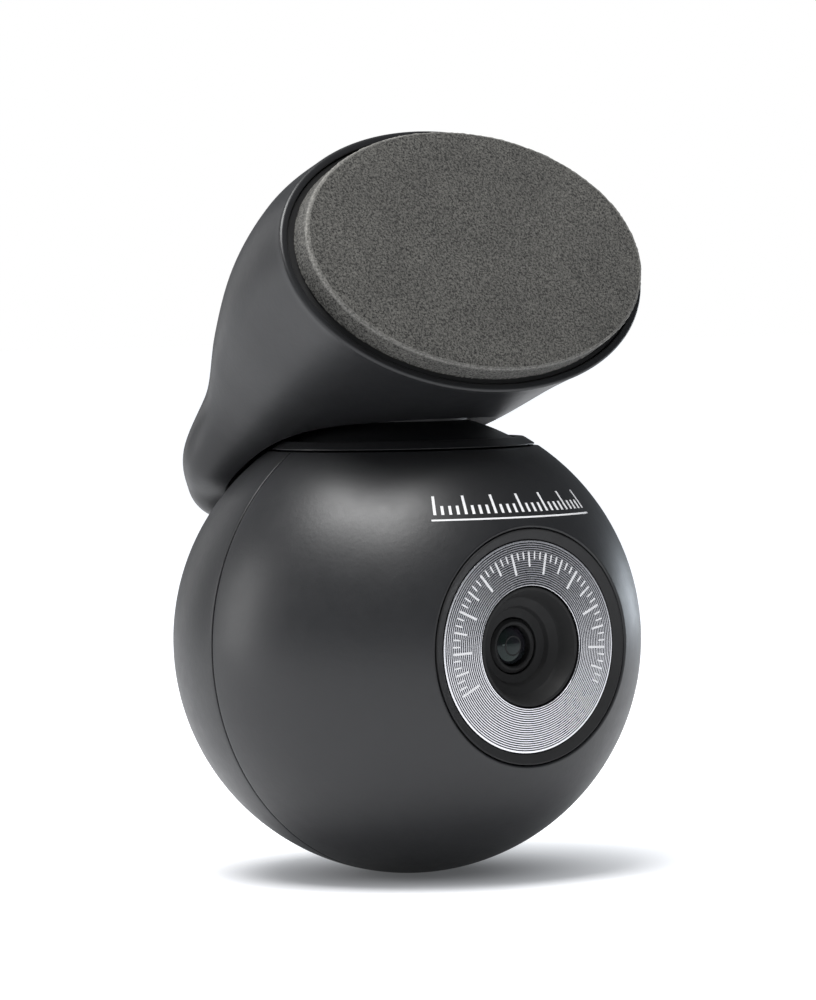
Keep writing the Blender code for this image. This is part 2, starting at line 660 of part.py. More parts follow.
def make_trunnion(side, way, tilt):
    """Pin with its head outside the hoop, and the friction washer between hoop and lug."""
    pin = turned(f"trunnion_pin_{side}", [
        (0, PIN_HEAD_END),
        (PIN_HEAD_RADIUS, PIN_HEAD_END),
        (PIN_HEAD_RADIUS, PIN_SHOULDER),
        (PIN_RADIUS, PIN_SHOULDER),
        (PIN_RADIUS, PIN_INNER_END),
        (0, PIN_INNER_END),
    ], tilt, "steel", steps=SMALL_STEPS)
    washer = turned(f"friction_washer_{side}", [
        (2.8 * MM, 17.95 * MM),
        (2.8 * MM, 17.72 * MM),
        (1.62 * MM, 17.72 * MM),
        (1.62 * MM, 17.95 * MM),
    ], tilt, "nylon", steps=SMALL_STEPS)
    for piece in (pin, washer):
        piece.rotation_euler = (0, math.radians(90 * way), 0)


def make_boards(tilt):
    board = box("main_board", (22 * MM, 1.2 * MM, 19 * MM), (0, 5.6 * MM, -0.5 * MM), tilt, "board_green")
    box("image_processor", (9 * MM, 1.2 * MM, 9 * MM), (0, 6.95 * MM, -4.5 * MM), tilt, "chip_black")
    box("board_connector", (6 * MM, 2.2 * MM, 3.2 * MM), (0, 7.45 * MM, 6 * MM), tilt, "nylon")
    for side, x in (("left", -BOARD_SCREW_X), ("right", BOARD_SCREW_X)):
        cut(board, rod(f"main_board_hole_{side}", SCREW_HOLE, (x, 3 * MM, 0), (x, 8 * MM, 0), tilt,
                       cutter=True, steps=12))
        screw(f"board_screw_{side}", (x, 6.35 * MM, 0), (0, 1, 0), 4.2 * MM, tilt)
    route = ((8.9, 6.0), (10.6, 6.8), (11.4, 9), (10.4, 12), (7.4, 14.6), (3.6, 16.2))
    tube_along("camera_lead", [(0, y * MM, z * MM) for y, z in route], 1.0 * MM, tilt, "wire")


clear_scene()
PARTS = new_collection("dash_camera")
CUTTERS = new_collection("cutters")
MATERIALS = make_materials()
PAD_NORMAL = Matrix.Rotation(math.radians(90 - PAD_ELEVATION_DEG), 3, "X") @ Vector((0, 0, 1))

ROOT = new_empty("mount_frame", location=-FOAM_FACE)
PAN = new_empty("pan_axis", ROOT)
TILT = new_empty("tilt_axis", PAN)
PAD = new_empty(
    "pad_frame", ROOT, (0, -PAD_FORWARD, PAD_HEIGHT), (math.radians(90 - PAD_ELEVATION_DEG), 0, 0)
)
SOCKET = new_empty(
    "socket_frame", ROOT, (0, SOCKET_BACK, SOCKET_HEIGHT), (math.radians(SOCKET_TILT_DEG), 0, 0)
)
make_mount(ROOT, PAD, SOCKET)
make_socket(SOCKET, ROOT)
make_swivel(PAN, ROOT)
make_shells(TILT)
make_optics(TILT)
make_frame(TILT)
make_boards(TILT)
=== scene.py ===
"""Looks of the ball-shaped window dash camera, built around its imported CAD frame.

Shapes are worked out in millimetres from the ball's centre, which is the point where the pan and tilt
axes cross, and are then placed in the frame in metres. The camera looks along -Y.
"""

import json
import math

import bmesh
import bpy
from mathutils import Matrix, Vector, noise


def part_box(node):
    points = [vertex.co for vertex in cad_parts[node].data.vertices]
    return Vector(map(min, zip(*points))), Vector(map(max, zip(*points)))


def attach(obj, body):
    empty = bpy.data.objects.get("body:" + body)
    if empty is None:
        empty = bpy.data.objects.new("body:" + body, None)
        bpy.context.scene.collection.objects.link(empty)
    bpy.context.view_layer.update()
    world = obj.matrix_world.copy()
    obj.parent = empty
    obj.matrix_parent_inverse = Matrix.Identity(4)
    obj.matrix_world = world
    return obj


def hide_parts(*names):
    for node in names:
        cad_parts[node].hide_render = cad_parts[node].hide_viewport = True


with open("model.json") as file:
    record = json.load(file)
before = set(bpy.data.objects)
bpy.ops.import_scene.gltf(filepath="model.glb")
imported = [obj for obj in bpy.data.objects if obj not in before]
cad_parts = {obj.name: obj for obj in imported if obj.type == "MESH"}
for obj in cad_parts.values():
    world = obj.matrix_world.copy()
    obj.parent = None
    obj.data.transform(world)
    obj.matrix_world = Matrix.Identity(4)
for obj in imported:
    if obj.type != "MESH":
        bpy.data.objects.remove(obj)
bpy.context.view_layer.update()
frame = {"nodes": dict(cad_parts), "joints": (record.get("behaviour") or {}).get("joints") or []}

MM = 0.001
CENTRE = Vector(next(j for j in frame["joints"] if j["name"] == "pan")["pos_m"])
TO_FRAME = Matrix.Translation(CENTRE) @ Matrix.Scale(MM, 4)
FLOOR_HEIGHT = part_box("front_shell")[0].z

# Sizes in millimetres, as in the CAD model
BALL_RADIUS = (CENTRE.z - FLOOR_HEIGHT) / MM
SHELL_WALL = 1.4
SEAM_FRONT = -0.325
SEAM_REAR = -0.475
TOP_OPENING = 18.37
TOP_RING_LOW = 18.52
TOP_RING_HIGH = 19.3
LIP_WALL = 0.45
LIP_POLAR = 57.0
LENS_HOLE = 11.1

DOME_RADIUS = 21.9
DOME_WALL = 1.5
DOME_POLAR = 43.5
STEM_RADIUS = 4.6
STEM_BORE = 2.6
STEM_TOP = 27.4
COLLAR_RADIUS = 6.2
COLLAR_TOP = 23.15

PAD_ELEVATION = 24.75
PAD_FORWARD = 10.44
PAD_HEIGHT = 36.26
PAD_HALF_WIDTH = 20.9
PAD_HALF_HEIGHT = 13.67
RIM_WIDTH = 0.8
RECESS_DEPTH = 2.55
PLATE_THICKNESS = 2.2
PLATE_SINK = 0.2
FOAM_HALF_WIDTH = 19.5
FOAM_HALF_HEIGHT = 12.5
FOAM_PROUD = 2.4
FOAM_ROUNDING = 0.35
FOAM_RIM = 0.022         # share of the pad's radius that the rounding takes
FOAM_BASE = -0.05
MOUNT_WALL = 1.7
TIP_ROUNDING = 1.4
TIP_REACH = 0.9
SCOOP_RADIUS = 22.9
FLOOR_RADIUS = 24.6

SOCKET_BACK = 10.25
SOCKET_HEIGHT = 35.82
SOCKET_TILT = 29.0

FINE = 288
MEDIUM = 128

# Sections of the mount's body from the mouth to the tip of the lobe behind the ball, in mm:
# (top forward, top height, bottom forward, bottom height, half width, squareness)
MOUNT_SECTIONS = (
    (4.72, 48.67, 16.16, 23.85, 20.9, 2.0),
    (-1.0, 46.4, 11.0, 22.2, 20.3, 2.0),
    (-6.5, 42.0, 5.0, 20.0, 19.2, 2.0),
    (-10.6, 36.0, -1.0, 18.0, 17.5, 2.0),
    (-13.8, 28.5, -6.0, 16.0, 15.9, 2.0),
    (-17.4, 20.5, -11.0, 14.4, 15.5, 2.6),
    (-19.6, 15.4, -14.2, 13.3, 13.3, 2.5),
    (-20.5, 13.2, -16.2, 11.7, 11.0, 2.4),
    (-21.0, 11.7, -17.9, 10.6, 7.6, 2.3),
)
PAD_TURN = Matrix.Rotation(math.radians(90 - PAD_ELEVATION), 4, "X")
PAD_NORMAL = PAD_TURN @ Vector((0, 0, 1))
PAD_FRAME = Matrix.Translation((0, -PAD_FORWARD, PAD_HEIGHT)) @ PAD_TURN
SOCKET_FRAME = (
    Matrix.Translation((0, SOCKET_BACK, SOCKET_HEIGHT)) @ Matrix.Rotation(math.radians(SOCKET_TILT), 4, "X")
)


# Outlines

def arc(radius, start, end, count):
    """(radius, height) points on a circle, by degrees from the vertical."""
    angles = [math.radians(start + (end - start) * i / count) for i in range(count + 1)]
    return [(radius * math.sin(a), radius * math.cos(a)) for a in angles]


def polar(height, radius):
    return math.degrees(math.acos(height / radius))


def rounded(corners, steps=5):
    """A closed outline of (x, y) points and of (x, y, radius) corners, which are rounded."""
    outline = []
    count = len(corners)
    for i, corner in enumerate(corners):
        here = Vector(corner[:2])
        if len(corner) == 2:
            outline.append(here)
            continue
        before = (Vector(corners[i - 1][:2]) - here).normalized()
        after = (Vector(corners[(i + 1) % count][:2]) - here).normalized()
        half = before.angle(after) / 2
        middle = here + (before + after).normalized() * corner[2] / math.sin(half)
        start = here + before * corner[2] / math.tan(half) - middle
        sweep = start.angle_signed(here + after * corner[2] / math.tan(half) - middle)
        for k in range(steps + 1):
            outline.append(middle + Matrix.Rotation(-sweep * k / steps, 2) @ start)
    return outline


# Solids, each a bmesh in millimetres

def turned(outline, steps=FINE, forward=False):
    """Turns a closed outline of (radius, height) points about Z, or about the lens axis."""
    bm = bmesh.new()
    rows = []
    for radius, height in outline:
        ring = []
        for k in range(1 if radius < 1e-6 else steps):
            angle = 2 * math.pi * k / steps
            across, along = radius * math.cos(angle), radius * math.sin(angle)
            ring.append(bm.verts.new((across, -height, along) if forward else (across, along, height)))
        rows.append(ring)
    for one, two in zip(rows, rows[1:] + rows[:1]):
        if len(one) == 1 and len(two) == 1:
            continue
        for k in range(steps):
            n = (k + 1) % steps
            corners = [one[k % len(one)], one[n % len(one)], two[n % len(two)], two[k % len(two)]]
            bm.faces.new(list(dict.fromkeys(corners)))
    bmesh.ops.recalc_face_normals(bm, faces=bm.faces)
    return bm


def lofted(rings):
    """A closed solid through rings of equal length, with flat end faces."""
    bm = bmesh.new()
    rows = [[bm.verts.new(p) for p in ring] for ring in rings]
    count = len(rows[0])
    for one, two in zip(rows, rows[1:]):
        for k in range(count):
            n = (k + 1) % count
            bm.faces.new((one[k], one[n], two[n], two[k]))
    bm.faces.new(rows[0])
    bm.faces.new(rows[-1])
    bmesh.ops.recalc_face_normals(bm, faces=bm.faces)
    return bm


def block(size, centre, turn=None):
    bm = bmesh.new()
    bmesh.ops.create_cube(bm, size=1.0, matrix=Matrix.Translation(centre) @ Matrix.Diagonal((*size, 1)))
    if turn:
        bm.transform(turn)
    return bm


def rod(radius, start, end, turn=None, steps=48):
    start, end = Vector(start), Vector(end)
    place = Matrix.Translation((start + end) / 2) @ (end - start).to_track_quat("Z", "Y").to_matrix().to_4x4()
    bm = bmesh.new()
    bmesh.ops.create_cone(
        bm, cap_ends=True, segments=steps, radius1=radius, radius2=radius, depth=(end - start).length,
        matrix=place,
    )
    if turn:
        bm.transform(turn)
    return bm


def ball(radius, steps=MEDIUM):
    bm = bmesh.new()
    bmesh.ops.create_uvsphere(bm, u_segments=steps, v_segments=steps // 2, radius=radius)
    return bm


def slab(half_width, half_height, corner, low, high, edge, corner_steps=8):
    """A rounded plate lying in XY between two heights, its upper and lower edges rounded too."""
    rings = []
    levels = [(edge * (1 - math.sin(a)), low + edge * (1 - math.cos(a))) for a in quarter(4)]
    levels += [(edge * (1 - math.cos(a)), high - edge * (1 - math.sin(a))) for a in quarter(4)]
    for inset, height in levels:
        ring = []
        reach = max(corner - inset, 0.01)
        for way_x, way_y, start in ((1, 1, 0), (-1, 1, 90), (-1, -1, 180), (1, -1, 270)):
            for k in range(corner_steps + 1):
                angle = math.radians(start + 90 * k / corner_steps)
                ring.append(Vector((
                    way_x * (half_width - corner) + reach * math.cos(angle),
                    way_y * (half_height - corner) + reach * math.sin(angle),
                    height,
                )))
        rings.append(ring)
    return lofted(rings)


def quarter(count):
    return [math.pi / 2 * i / count for i in range(count + 1)]


def as_object(bm, name):
    mesh = bpy.data.meshes.new(name)
    bm.to_mesh(mesh)
    bm.free()
    made = bpy.data.objects.new(name, mesh)
    bpy.context.scene.collection.objects.link(made)
    return made


def carved(bm, *tools):
    """The solid less the tools, by exact Booleans."""
    body = as_object(bm, "carved")
    cutters = [as_object(tool, "tool") for tool in tools]
    for cutter in cutters:
        step = body.modifiers.new("cut", "BOOLEAN")
        step.operation = "DIFFERENCE"
        step.solver = "EXACT"
        step.object = cutter
    graph = bpy.context.evaluated_depsgraph_get()
    mesh = bpy.data.meshes.new_from_object(body.evaluated_get(graph))
    result = bmesh.new()
    result.from_mesh(mesh)
    for used in (body, *cutters):
        bpy.data.objects.remove(used)
    bpy.data.meshes.remove(mesh)
    return result


def piece(name, bm, material, slot, body, *nodes, turn=None):
    """Places a solid in the frame as a visible piece that stands for the CAD nodes."""
    if turn:
        bm.transform(turn)
    bm.transform(TO_FRAME)
    made = as_object(bm, name)
    made.data.materials.append(material)
    made.data.shade_smooth()
    made.data.set_sharp_from_angle(angle=math.radians(32))
    even = made.modifiers.new("even_normals", "WEIGHTED_NORMAL")
    even.keep_sharp = True
    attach(made, body)
    if nodes:
        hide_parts(*nodes)
    return made


# Materials

def new_material(name, colour, roughness, metallic=0.0):
    made = bpy.data.materials.new(name)
    made.use_nodes = True
    shader = made.node_tree.nodes["Principled BSDF"]
    shader.inputs["Base Color"].default_value = (*colour, 1)
    shader.inputs["Roughness"].default_value = roughness
    shader.inputs["Metallic"].default_value = metallic
    return made, made.node_tree, shader


def add_node(tree, kind, **values):
    made = tree.nodes.new(kind)
    for name, value in values.items():
        made.inputs[name.replace("_", " ")].default_value = value
    return made


def object_noise(tree, scale, detail=3.0, roughness=0.55):
    where = tree.nodes.new("ShaderNodeTexCoord")
    grain = add_node(tree, "ShaderNodeTexNoise", Scale=scale, Detail=detail, Roughness=roughness)
    tree.links.new(where.outputs["Object"], grain.inputs["Vector"])
    return grain.outputs["Fac"]


def ramp(tree, source, low, high, start=0.3, end=0.7):
    """Maps a 0..1 value to colours or greys between low and high."""
    made = tree.nodes.new("ShaderNodeValToRGB")
    first, last = made.color_ramp.elements
    first.position, last.position = start, end
    first.color, last.color = (*low, 1), (*high, 1)
    tree.links.new(source, made.inputs["Fac"])
    return made.outputs["Color"]


def spread(tree, source, low, high):
    """Maps a 0..1 value to the range low..high."""
    made = add_node(tree, "ShaderNodeMapRange")
    made.inputs["From Min"].default_value = 0.3
    made.inputs["From Max"].default_value = 0.7
    made.inputs["To Min"].default_value = low
    made.inputs["To Max"].default_value = high
    tree.links.new(source, made.inputs["Value"])
    return made.outputs["Result"]


def bump(tree, source, shader, strength, distance):
    made = add_node(tree, "ShaderNodeBump", Strength=strength, Distance=distance)
    tree.links.new(source, made.inputs["Height"])
    tree.links.new(made.outputs["Normal"], shader.inputs["Normal"])


def moulded(name, low, high, roughness, grain=2200.0, depth=0.00002, specular=0.5):
    """Moulded plastic: fine spark-eroded grain, and slow changes of tone and gloss."""
    made, tree, shader = new_material(name, low, roughness[0])
    shader.inputs["Specular IOR Level"].default_value = specular
    slow = object_noise(tree, 90.0, 4.0)
    tree.links.new(ramp(tree, slow, low, high), shader.inputs["Base Color"])
    tree.links.new(spread(tree, object_noise(tree, 700.0), *roughness), shader.inputs["Roughness"])
    bump(tree, object_noise(tree, grain, 2.0), shader, 0.5, depth)
    return made


def foam_material():
    """Open-cell foam; a painted highlight, marked on the mesh, lightens the rounded lip of its cut edge and
    is broken up by noise.
    """
    made, tree, shader = new_material("foam_tape", (0.11, 0.108, 0.1), 1.0)
    shader.inputs["Specular IOR Level"].default_value = 0.12
    shader.inputs["Sheen Weight"].default_value = 0.12
    shader.inputs["Sheen Roughness"].default_value = 0.6
    where = tree.nodes.new("ShaderNodeTexCoord")
    cells = tree.nodes.new("ShaderNodeTexVoronoi")
    cells.inputs["Scale"].default_value = 4200.0
    tree.links.new(where.outputs["Object"], cells.inputs["Vector"])
    grain = object_noise(tree, 5200.0, 4.0, 0.75)
    speckle = ramp(tree, grain, (0.008, 0.0078, 0.007), (0.115, 0.112, 0.102), 0.4, 0.6)
    slow = ramp(tree, object_noise(tree, 160.0, 4.0), (0.86, 0.86, 0.86), (1.1, 1.1, 1.1))
    mixed = tree.nodes.new("ShaderNodeMix")
    mixed.data_type = "RGBA"
    mixed.blend_type = "MULTIPLY"
    mixed.inputs["Factor"].default_value = 1.0
    tree.links.new(speckle, mixed.inputs["A"])
    tree.links.new(slow, mixed.inputs["B"])
    # Painted highlight along the foam's rounded lip, broken up by fine noise.
    lip_highlight_noise = object_noise(tree, 4200.0, 5.0, 0.8)
    lip_highlight = ramp(tree, lip_highlight_noise, (0.03, 0.03, 0.027), (0.42, 0.41, 0.385))
    marked = tree.nodes.new("ShaderNodeAttribute")
    marked.attribute_name = "painted_lip_highlight"
    edged = tree.nodes.new("ShaderNodeMix")
    edged.data_type = "RGBA"
    tree.links.new(marked.outputs["Fac"], edged.inputs["Factor"])
    tree.links.new(mixed.outputs["Result"], edged.inputs["A"])
    tree.links.new(lip_highlight, edged.inputs["B"])
    tree.links.new(edged.outputs["Result"], shader.inputs["Base Color"])
    bump(tree, cells.outputs["Distance"], shader, 0.6, 0.00008)
    return made


def metal_material(name, low, high, roughness, grain=1800.0):
    made, tree, shader = new_material(name, low, roughness[0], 1.0)
    tree.links.new(ramp(tree, object_noise(tree, 400.0, 5.0), low, high), shader.inputs["Base Color"])
    tree.links.new(spread(tree, object_noise(tree, grain), *roughness), shader.inputs["Roughness"])
    bump(tree, object_noise(tree, grain * 2), shader, 0.3, 0.000004)
    return made


def glass_material():
    """Coated glass: nearly black, with a faint green and violet cast in its gloss."""
    made, tree, shader = new_material("lens_glass", (0.01, 0.014, 0.013), 0.04)
    tint = ramp(tree, object_noise(tree, 500.0, 2.0), (0.006, 0.012, 0.010), (0.016, 0.012, 0.018))
    tree.links.new(tint, shader.inputs["Base Color"])
    tree.links.new(spread(tree, object_noise(tree, 900.0), 0.03, 0.07), shader.inputs["Roughness"])
    shader.inputs["IOR"].default_value = 1.45
    shader.inputs["Specular Tint"].default_value = (0.62, 0.76, 0.72, 1)
    return made


SATIN = moulded("satin_plastic", (0.0115, 0.0118, 0.013), (0.0138, 0.0142, 0.0155), (0.39, 0.43))
CHARCOAL = moulded(
    "charcoal_plastic", (0.016, 0.016, 0.0165), (0.02, 0.02, 0.0205), (0.5, 0.58), specular=0.3
)
MATTE = moulded("matte_black", (0.018, 0.018, 0.0182), (0.022, 0.022, 0.0222), (0.55, 0.65), specular=0.2)
GLOSS = moulded("gloss_plastic", (0.008, 0.008, 0.009), (0.012, 0.012, 0.013), (0.2, 0.28), depth=0.000005)
FOAM = foam_material()
TURNED = metal_material("turned_aluminium", (0.82, 0.82, 0.85), (0.86, 0.86, 0.89), (0.26, 0.3))
# Dark metal painted into the groove floors as shade.
GROOVE_SHADE = metal_material("groove_painted_shade", (0.03, 0.03, 0.034), (0.05, 0.05, 0.055), (0.5, 0.6))
STEEL = metal_material("steel", (0.5, 0.51, 0.52), (0.6, 0.61, 0.62), (0.25, 0.38))
GOLD = metal_material("contact_gold", (0.75, 0.55, 0.22), (0.85, 0.63, 0.28), (0.2, 0.3))
GLASS = glass_material()
PRINT = moulded("print_grey", (0.8, 0.8, 0.81), (0.86, 0.86, 0.87), (0.45, 0.55))
BOARD = moulded("board_green", (0.012, 0.09, 0.04), (0.02, 0.12, 0.055), (0.35, 0.5), grain=900.0)
CHIP = moulded("chip_black", (0.02, 0.02, 0.02), (0.035, 0.035, 0.035), (0.5, 0.6), grain=3000.0)
NYLON = moulded("nylon", (0.07, 0.07, 0.073), (0.09, 0.09, 0.094), (0.45, 0.6))
SLEEVE = moulded("wire_sleeve", (0.018, 0.018, 0.018), (0.028, 0.028, 0.028), (0.5, 0.65))


# Ball

def shell_hollow():
    """The hollow inside both shells: its upper part leaves only a thin lip for the dome to slide under."""
    lip = BALL_RADIUS - LIP_WALL
    inner = BALL_RADIUS - SHELL_WALL
    return turned(
        [(0, lip), *arc(lip, 3, LIP_POLAR, 36), *arc(inner, LIP_POLAR, 177, 60), (0, -inner)], steps=MEDIUM
    )


def opening_cut():
    """Takes off the ball's top and breaks the sharp edge that this leaves."""
    edge = math.sqrt(BALL_RADIUS ** 2 - TOP_OPENING ** 2)
    slope = 0.07
    return turned([
        (0, 40), (30, 40), (30, TOP_OPENING + 12), (edge + 0.6, TOP_OPENING - slope + 0.55),
        (edge - 0.05, TOP_OPENING - slope), (edge - 0.2, TOP_OPENING), (0, TOP_OPENING),
    ])


def make_front_shell():
    start = math.degrees(math.asin(LENS_HOLE / BALL_RADIUS))
    end = polar(SEAM_FRONT, BALL_RADIUS)
    surface = arc(BALL_RADIUS, start, end, 56)
    outline = rounded([
        (*surface[0], 0.22), *surface[1:-1], (*surface[-1], 0.1), (18.0, SEAM_FRONT), (LENS_HOLE, 8.0),
    ])
    shell = carved(turned(outline, forward=True), shell_hollow(), opening_cut())
    piece("front_shell_surface", shell, SATIN, "satin_black", "ball", "front_shell")


def make_rear_shell():
    start = polar(SEAM_REAR, BALL_RADIUS)
    surface = arc(BALL_RADIUS, start, 180, 64)
    outline = rounded([(0, SEAM_REAR), (*surface[0], 0.1), *surface[1:-1], (0, -BALL_RADIUS)])
    shell = carved(turned(outline, forward=True), shell_hollow(), opening_cut())
    piece("rear_shell_surface", shell, SATIN, "satin_black", "ball", "rear_shell")


def make_top_ring():
    lip = BALL_RADIUS - LIP_WALL
    outer = arc(BALL_RADIUS, polar(TOP_RING_HIGH, BALL_RADIUS), polar(TOP_RING_LOW, BALL_RADIUS), 6)
    inner = arc(lip, polar(TOP_RING_LOW, lip), polar(TOP_RING_HIGH, lip), 6)
    outline = rounded([
        (*outer[0], 0.12), *outer[1:-1], (*outer[-1], 0.08), *inner[:-1], (*inner[-1], 0.06),
    ])
    piece("top_ring_surface", turned(outline), SATIN, "satin_black", "ball", "top_ring")


def make_dome():
    inner = DOME_RADIUS - DOME_WALL
    collar = math.degrees(math.asin(COLLAR_RADIUS / DOME_RADIUS))
    bore = math.degrees(math.asin(STEM_BORE / inner))
    foot = arc(DOME_RADIUS, collar, DOME_POLAR, 40)
    outline = rounded([
        (STEM_BORE, STEM_TOP, 0.2), (STEM_RADIUS, STEM_TOP, 0.3), (STEM_RADIUS, 26.75), (4.0, 26.75),
        (4.0, 26.0), (STEM_RADIUS, 26.0), (STEM_RADIUS, COLLAR_TOP), (COLLAR_RADIUS, COLLAR_TOP, 0.2),
        *foot[:-1], (*foot[-1], 0.3), *arc(inner, DOME_POLAR, bore, 20),
    ])
    piece("dome_surface", turned(outline), SATIN, "satin_black", "swivel", "dome_cap")


# Lens window, from the rim inwards; outlines are (radius, distance forward of the ball's centre)

GROOVES = 19
RING_OUTER = 9.95
RING_INNER = 5.75
GROOVE_DEPTH = 0.07
GROOVE_MARGIN = 0.1
# Across one groove: the share of the pitch, and the share of the depth there
GROOVE_SHAPE = ((0.0, 0.0), (0.42, 0.0), (0.46, 1.0), (0.96, 1.0))


def ring_face(radius):
    """Height of the turned ring's slightly dished face."""
    return 19.08 + 0.34 * (RING_OUTER - radius) / (RING_OUTER - RING_INNER)


def make_bezel():
    outline = rounded([
        (10.05, 19.05, 0.08), (11.02, 19.52, 0.1), (11.02, 17.2), (11.6, 16.65, 0.1), (11.6, 16.1),
        (8.6, 16.1), (8.6, 18.2), (10.05, 18.2),
    ])
    piece("lens_bezel_surface", turned(outline, forward=True), CHARCOAL, "gloss_black", "ball", "lens_bezel")


def make_trim_ring():
    """The ring has fine concentric grooves turned into its whole face; their floors take a dark metal as
    painted shade.
    """
    pitch = (RING_OUTER - RING_INNER - 2 * GROOVE_MARGIN) / GROOVES
    profile = []
    for i in range(GROOVES):
        start = RING_OUTER - GROOVE_MARGIN - i * pitch
        for share, depth in GROOVE_SHAPE:
            radius = start - share * pitch
            profile.append((radius, ring_face(radius) - depth * GROOVE_DEPTH))
    outline = rounded([
        *reversed(profile), (RING_OUTER, ring_face(RING_OUTER), 0.04), (RING_OUTER, 18.35),
        (RING_INNER, 18.35), (RING_INNER, ring_face(RING_INNER), 0.05),
    ], steps=3)
    ring = piece(
        "trim_ring_surface", turned(outline, 360, forward=True), TURNED, "turned_metal", "ball", "trim_ring"
    )
    ring.data.materials.append(GROOVE_SHADE)
    for face in ring.data.polygons:
        place = (face.center - CENTRE) / MM
        radius = math.hypot(place.x, place.z)
        # Faces near a groove's floor get the dark metal, as painted shade.
        face.material_index = 1 if -place.y < ring_face(radius) - 0.9 * GROOVE_DEPTH else 0


def make_hood():
    """Funnel round the lens, with two shallow steps."""
    outline = rounded([
        (5.3, 19.25, 0.06), (5.6, 19.3, 0.08), (5.6, 18.2), (6.6, 18.2), (6.6, 15.6), (2.7, 15.6),
        (2.7, 16.7, 0.05),
        (3.55, 16.78, 0.1), (3.75, 17.25, 0.1), (4.55, 17.7, 0.15), (4.7, 17.95, 0.1),
    ])
    piece("lens_hood_surface", turned(outline, forward=True), MATTE, "gloss_black", "ball", "lens_hood")


def make_barrel():
    outline = rounded([
        (1.95, 16.72, 0.05), (2.1, 16.85, 0.04), (2.28, 16.85, 0.06), (2.55, 16.55, 0.1), (2.55, 13.2),
        (4.5, 13.2), (4.5, 6.9), (3.2, 6.9), (3.2, 12.0), (1.95, 12.0),
    ])
    piece("lens_barrel_surface", turned(outline, MEDIUM, forward=True), MATTE, "gloss_black", "ball",
          "lens_barrel")


def make_front_lens():
    """A strongly curved front glass, with the second element's rim showing behind its edge."""
    radius = 1.8
    bulge = [(radius * math.sin(a), 16.15 + 0.58 * math.cos(a)) for a in reversed(quarter(14))]
    outline = [(0, 15.0), (radius, 15.0), *bulge[:-1], (0, 16.73)]
    piece("front_lens_surface", turned(list(reversed(outline)), MEDIUM, forward=True), GLASS, "lens_glass",
          "ball", "front_lens")
    inner = rounded([(0.75, 16.66), (0.95, 16.68, 0.03), (1.0, 16.56), (0.75, 16.56)], 3)
    piece("lens_element_rim", turned(inner, MEDIUM, forward=True), CHARCOAL, "gloss_black", "ball")


def bar_on_ring(angle, low, high, half_width):
    """A thin printed bar on the ring's face, at this clock angle and between two radii."""
    across = Vector((math.cos(angle), 0, math.sin(angle)))
    side = Vector((-math.sin(angle), 0, math.cos(angle)))
    rings = []
    for radius in (low, high):
        face = across * radius + Vector((0, -ring_face(radius), 0))
        rings.append([
            face - side * half_width + Vector((0, 0.03, 0)),
            face + side * half_width + Vector((0, 0.03, 0)),
            face + side * half_width - Vector((0, 0.02, 0)),
            face - side * half_width - Vector((0, 0.02, 0)),
        ])
    return lofted(rings)


def joined(solids):
    whole = bmesh.new()
    for solid in solids:
        mesh = bpy.data.meshes.new("part")
        solid.to_mesh(mesh)
        solid.free()
        whole.from_mesh(mesh)
        bpy.data.meshes.remove(mesh)
    return whole


def make_ring_scale():
    """A plain printed scale round the upper part of the ring, in even ticks of three lengths."""
    ticks = []
    for i in range(54):
        angle = math.radians(90 + 118 - 4.4 * i)
        if i % 6 == 0:
            ticks.append(bar_on_ring(angle, 6.9, 8.9, 0.11))
        elif i % 3 == 0:
            ticks.append(bar_on_ring(angle, 7.5, 8.9, 0.09))
        else:
            ticks.append(bar_on_ring(angle, 8.2, 8.9, 0.07))
    piece("ring_scale_print", joined(ticks), PRINT, "satin_black", "ball")


def patch_on_ball(azimuths, low, high):
    """A thin printed patch on the ball, between two heights and along these azimuths."""
    rings = []
    for azimuth in azimuths:
        ring = []
        for height, radius in ((low, 22.47), (low, 22.53), (high, 22.53), (high, 22.47)):
            reach = math.sqrt(radius ** 2 - height ** 2)
            ring.append(Vector((reach * math.sin(azimuth), -reach * math.cos(azimuth), height)))
        rings.append(ring)
    return lofted(rings)


def make_ball_print():
    """A plain printed arc with a row of short ticks over it, above the lens window."""
    half = math.radians(29)
    steps = 48
    line = [half * (2 * i / steps - 1) for i in range(steps + 1)]
    marks = [patch_on_ball(line, 12.05, 12.2)]
    for i in range(25):
        middle = half * 0.96 * (i / 12 - 1)
        tall = 14.3 if i % 4 == 0 else 13.4
        wide = math.radians(0.42)
        marks.append(patch_on_ball([middle - wide, middle, middle + wide], 12.6, tall))
    piece("ball_arc_print", joined(marks), PRINT, "satin_black", "ball")


# Mount

def spline_value(before, start, end, after, t):
    """Catmull-Rom interpolation between start and end."""
    return 0.5 * (
        2 * start
        + (end - before) * t
        + (2 * before - 5 * start + 4 * end - after) * t * t
        + (3 * start - before - 3 * end + after) * t ** 3
    )


def smooth_path(points, per_span):
    ends = [2 * points[0] - points[1], *points, 2 * points[-1] - points[-2]]
    path = []
    for i in range(1, len(ends) - 2):
        for k in range(per_span):
            path.append(spline_value(*ends[i - 1:i + 3], k / per_span))
    return [*path, points[-1]]


def mount_section(values, inset, count, push=Vector((0, 0, 0))):
    """One superellipse section of the mount, drawn in by an inset and pushed along."""
    top_f, top_z, low_f, low_z, half_width, squareness = values
    middle = Vector((0, -(top_f + low_f) / 2, (top_z + low_z) / 2)) + push
    up = Vector((0, -(top_f - low_f) / 2, (top_z - low_z) / 2))
    up *= 1 - inset / up.length
    side = Vector((half_width - inset, 0, 0))
    ring = []
    for k in range(count):
        angle = 2 * math.pi * k / count
        c, s = math.cos(angle), math.sin(angle)
        rise = math.copysign(abs(c) ** (2 / squareness), c)
        reach = math.copysign(abs(s) ** (2 / squareness), s)
        ring.append(middle + up * rise + side * reach)
    return ring


